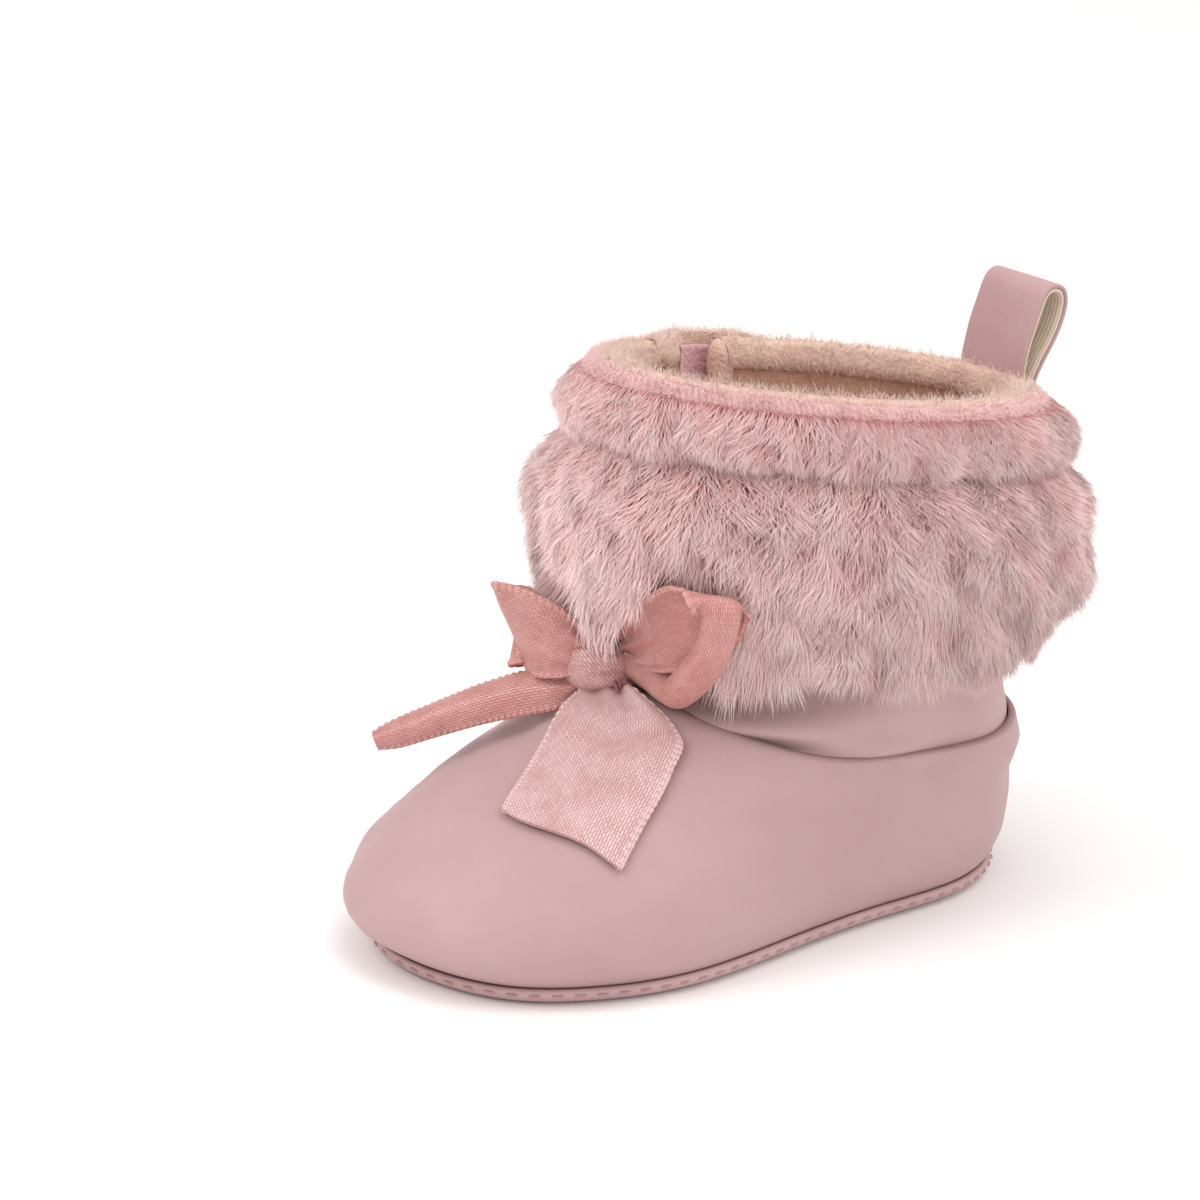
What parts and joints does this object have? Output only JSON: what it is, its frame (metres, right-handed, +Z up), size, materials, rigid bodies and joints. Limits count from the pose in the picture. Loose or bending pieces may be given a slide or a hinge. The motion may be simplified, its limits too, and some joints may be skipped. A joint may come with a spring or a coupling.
{
  "type": "baby bootie",
  "caption": "Soft-soled baby bootie in dusty-pink faux leather with a deep faux-fur cuff, side flap closure, heel pull tab and satin ribbon bow.",
  "frame": {"origin": "on the ground under the middle of the sole's length", "axes": "+Y from toe to heel, +Z up, +X towards the medial side (inner side) of this right-foot bootie; the side flap is on -X"},
  "size_m": [0.0721, 0.1366, 0.102],
  "materials": {
    "leather_pink": "matte, fine grain",
    "faux_fur": "long soft pile, clumped",
    "lining_knit": "brushed knit",
    "foam_white": "foam sheet",
    "closure_tape": "hook and loop tape",
    "tab_tape_cream": "woven cotton tape",
    "satin_ribbon": "satin weave, sheen along the fold",
    "thread_rose": "twisted thread",
    "thread_beige": "twisted thread"
  },
  "bodies": {
    "boot": {"outsole": "leather_pink", "sole_foam": "foam_white", "footbed": "lining_knit", "foot_upper": "leather_pink", "lateral_quarter": "leather_pink", "foot_lining": "lining_knit", "shaft_panel": "leather_pink", "shaft_lining": "lining_knit", "rim_facing": "lining_knit", "loop_tape": "closure_tape", "fur_cuff": "faux_fur", "fur_rim_roll": "faux_fur", "pull_tab_root": "leather_pink", "bow_knot": "satin_ribbon", "bow_tack_thread": "thread_rose", "sole_stitches": "thread_rose", "quarter_seam_stitches": "thread_rose", "heel_seam_stitches": "thread_rose", "topline_stitches": "thread_rose", "cuff_groove_stitches": "thread_rose", "facing_stitches": "thread_beige"},
    "flap": {"flap_panel": "leather_pink", "flap_lining": "lining_knit", "flap_facing": "lining_knit", "hook_tape": "closure_tape", "flap_fur_cuff": "faux_fur", "flap_fur_roll": "faux_fur"},
    "pull_tab": {"pull_tab_strap": "leather_pink", "pull_tab_tape": "tab_tape_cream"},
    "loop_right": {"bow_loop_right": "satin_ribbon"},
    "loop_left": {"bow_loop_left": "satin_ribbon"},
    "tail_front": {"bow_tail_front": "satin_ribbon"},
    "tail_left": {"bow_tail_left": "satin_ribbon"}
  },
  "joints": [
    {"name": "flap_hinge", "type": "hinge", "parent": "boot", "child": "flap", "pos_m": [-0.02211, 0, 0.062], "axis": [0, 0, 1], "range_deg": [0, 60]},
    {"name": "pull_tab_tilt", "type": "hinge", "parent": "boot", "child": "pull_tab", "pos_m": [0, 0.0624, 0.0834], "axis": [1, 0, 0], "range_deg": [-30, 40], "stiffness_Nm_per_rad": 0.004},
    {"name": "bow_loop_right_flex", "type": "hinge", "parent": "boot", "child": "loop_right", "pos_m": [0.0088, -0.0222, 0.0486], "axis": [0.5024, 0.2992, -0.8112], "range_deg": [0, 25], "stiffness_Nm_per_rad": 0.002},
    {"name": "bow_loop_left_flex", "type": "hinge", "parent": "boot", "child": "loop_left", "pos_m": [-0.0064, -0.023, 0.0484], "axis": [0.3987, -0.1039, 0.9112], "range_deg": [0, 15], "stiffness_Nm_per_rad": 0.002},
    {"name": "bow_tail_front_lift", "type": "hinge", "parent": "boot", "child": "tail_front", "pos_m": [0.0042, -0.025, 0.041], "axis": [-0.7318, -0.6789, -0.0602], "range_deg": [0, 50], "stiffness_Nm_per_rad": 0.001},
    {"name": "bow_tail_left_lift", "type": "hinge", "parent": "boot", "child": "tail_left", "pos_m": [-0.0042, -0.0254, 0.0432], "axis": [-0.7673, 0.6367, -0.0772], "range_deg": [-6, 25], "stiffness_Nm_per_rad": 0.001}
  ]
}
